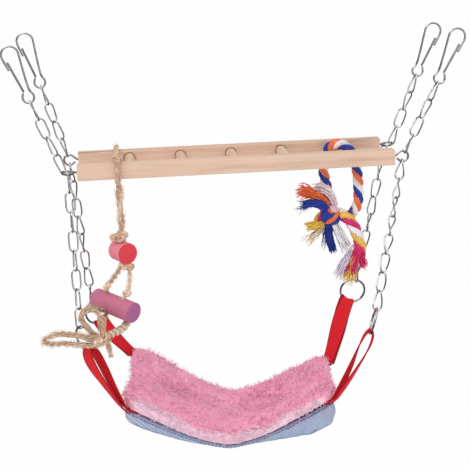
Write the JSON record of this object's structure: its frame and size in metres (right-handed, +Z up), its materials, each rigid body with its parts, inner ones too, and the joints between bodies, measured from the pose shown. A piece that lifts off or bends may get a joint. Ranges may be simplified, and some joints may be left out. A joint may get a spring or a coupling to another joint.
{
  "type": "bird swing",
  "caption": "Hanging cage swing: a wooden ladder perch and a padded hammock on chains with snap hooks, with a rope toy and a twine toy.",
  "frame": {"origin": "middle of the four snap hooks, at the mean height of the tops of their bends, where the cage wire is", "axes": "+X along the ladder to the right as seen from the front, +Y to the rear, +Z up"},
  "size_m": [0.3166, 0.1273, 0.2954],
  "materials": {
    "hook_steel": "polished plated spring wire",
    "chain_steel": "bright zinc-plated wire",
    "ring_steel": "polished plated wire",
    "eye_steel": "bright zinc-plated wire",
    "rail_wood": "smooth bare pine, unvarnished",
    "rung_wood": "smooth bare dowel, unvarnished",
    "red_webbing": "ribbed woven webbing",
    "pink_plush": "short curly plush pile",
    "grey_canvas": "coarse woven canvas, blue-grey",
    "jute_twine": "coarse twisted natural twine",
    "red_stain": "matte stained dowel",
    "purple_stain": "matte stained dowel",
    "cotton_yarn": "soft twisted cotton in orange, blue, white, pink and yellow"
  },
  "bodies": {
    "root": {"hook_front_left": "hook_steel", "hook_front_right": "hook_steel", "hook_rear_left": "hook_steel", "hook_rear_right": "hook_steel"},
    "gate_front_left": {"gate_front_left": "hook_steel"},
    "gate_front_right": {"gate_front_right": "hook_steel"},
    "gate_rear_left": {"gate_rear_left": "hook_steel"},
    "gate_rear_right": {"gate_rear_right": "hook_steel"},
    "front_upper": {"upper_chain_front_left": "chain_steel", "upper_chain_front_right": "chain_steel"},
    "rear_upper": {"upper_chain_rear_left": "chain_steel", "upper_chain_rear_right": "chain_steel"},
    "ladder": {"screw_eye_front_left": "eye_steel", "screw_eye_front_right": "eye_steel", "screw_eye_rear_left": "eye_steel", "screw_eye_rear_right": "eye_steel", "rail_front": "rail_wood", "rail_rear": "rail_wood", "rung_1": "rung_wood", "rung_2": "rung_wood", "rung_3": "rung_wood", "rung_4": "rung_wood", "rung_5": "rung_wood", "twine_hanger": "jute_twine"},
    "front_lower": {"lower_chain_front_left": "chain_steel", "lower_chain_front_right": "chain_steel"},
    "rear_lower": {"lower_chain_rear_left": "chain_steel", "lower_chain_rear_right": "chain_steel"},
    "hammock": {"ring_front_left": "ring_steel", "ring_front_right": "ring_steel", "ring_rear_left": "ring_steel", "ring_rear_right": "ring_steel", "strap_front_left": "red_webbing", "strap_front_right": "red_webbing", "strap_rear_left": "red_webbing", "strap_rear_right": "red_webbing", "plush_pad": "pink_plush", "woven_base": "grey_canvas"},
    "twine_toy": {"twine_drop": "jute_twine", "twine_legs": "jute_twine", "purple_bead": "purple_stain", "twine_bow": "jute_twine"},
    "red_bead": {"red_bead": "red_stain"},
    "rope_toy": {"cotton_rope": "cotton_yarn", "rope_knot": "cotton_yarn", "short_rope": "cotton_yarn", "tassel_side": "cotton_yarn", "tassel_low": "cotton_yarn", "tassel_yellow": "cotton_yarn", "tassel_pink": "cotton_yarn"}
  },
  "joints": [
    {"name": "main_swing", "type": "hinge", "parent": "root", "child": "front_upper", "pos_m": [0.00147, -0.02629, -0.03802], "axis": [1, 0.0093, 0.0012], "range_deg": [-15, 15]},
    {"name": "rear_upper_swing", "type": "hinge", "parent": "root", "child": "rear_upper", "pos_m": [0.00226, 0.0237, -0.03633], "axis": [0.9998, -0.0105, -0.0159], "range_deg": [-14.66, 14.66]},
    {"name": "ladder_level", "type": "hinge", "parent": "front_upper", "child": "ladder", "pos_m": [-0.00035, -0.02629, -0.08519], "axis": [0.9999, 0.0094, 0.0081], "range_deg": [-15.02, 15.02]},
    {"name": "hammock_swing", "type": "hinge", "parent": "ladder", "child": "front_lower", "pos_m": [-0.00029, -0.02336, -0.09045], "axis": [0.9999, -0.0142, -0.0078], "range_deg": [-10, 10]},
    {"name": "rear_lower_swing", "type": "hinge", "parent": "ladder", "child": "rear_lower", "pos_m": [-0.00053, 0.02653, -0.09042], "axis": [1, 0.0048, 0.0087], "range_deg": [-9.95, 9.95]},
    {"name": "hammock_level", "type": "hinge", "parent": "front_lower", "child": "hammock", "pos_m": [-0.01008, -0.042, -0.19233], "axis": [0.9999, -0.0133, -0.0006], "range_deg": [-7.03, 7.03]},
    {"name": "twine_swing", "type": "hinge", "parent": "ladder", "child": "twine_toy", "pos_m": [-0.082, -0.025, -0.09645], "axis": [1, 0, 0], "range_deg": [-10, 10]},
    {"name": "bead_spin", "type": "hinge", "parent": "twine_toy", "child": "red_bead", "pos_m": [-0.082, -0.025, -0.14514], "axis": [0, 0, 1], "continuous": true},
    {"name": "rope_swing", "type": "hinge", "parent": "ladder", "child": "rope_toy", "pos_m": [0.07333, -0.008, -0.08765], "axis": [0, 1, 0], "range_deg": [-25, 25]},
    {"name": "gate_front_left_press", "type": "hinge", "parent": "root", "child": "gate_front_left", "pos_m": [-0.14205, -0.02758, -0.03031], "axis": [0, 1, 0], "range_deg": [0, 12], "stiffness_Nm_per_rad": 0.004},
    {"name": "gate_front_right_press", "type": "hinge", "parent": "root", "child": "gate_front_right", "pos_m": [0.14551, -0.025, -0.03028], "axis": [0, -1, 0], "range_deg": [0, 12], "stiffness_Nm_per_rad": 0.004},
    {"name": "gate_rear_left_press", "type": "hinge", "parent": "root", "child": "gate_rear_left", "pos_m": [-0.1365, 0.025, -0.02658], "axis": [0, 1, 0], "range_deg": [0, 12], "stiffness_Nm_per_rad": 0.004},
    {"name": "gate_rear_right_press", "type": "hinge", "parent": "root", "child": "gate_rear_right", "pos_m": [0.14176, 0.02239, -0.03024], "axis": [0, -1, 0], "range_deg": [0, 12], "stiffness_Nm_per_rad": 0.004}
  ],
  "couplings": [
    {"joint": "rear_upper_swing", "follows": "main_swing", "ratio": 0.97658},
    {"joint": "ladder_level", "follows": "main_swing", "ratio": -1.0006},
    {"joint": "rear_lower_swing", "follows": "hammock_swing", "ratio": 0.99438},
    {"joint": "hammock_level", "follows": "hammock_swing", "ratio": -0.70217},
    {"joint": "twine_swing", "follows": "hammock_swing", "ratio": 1}
  ]
}
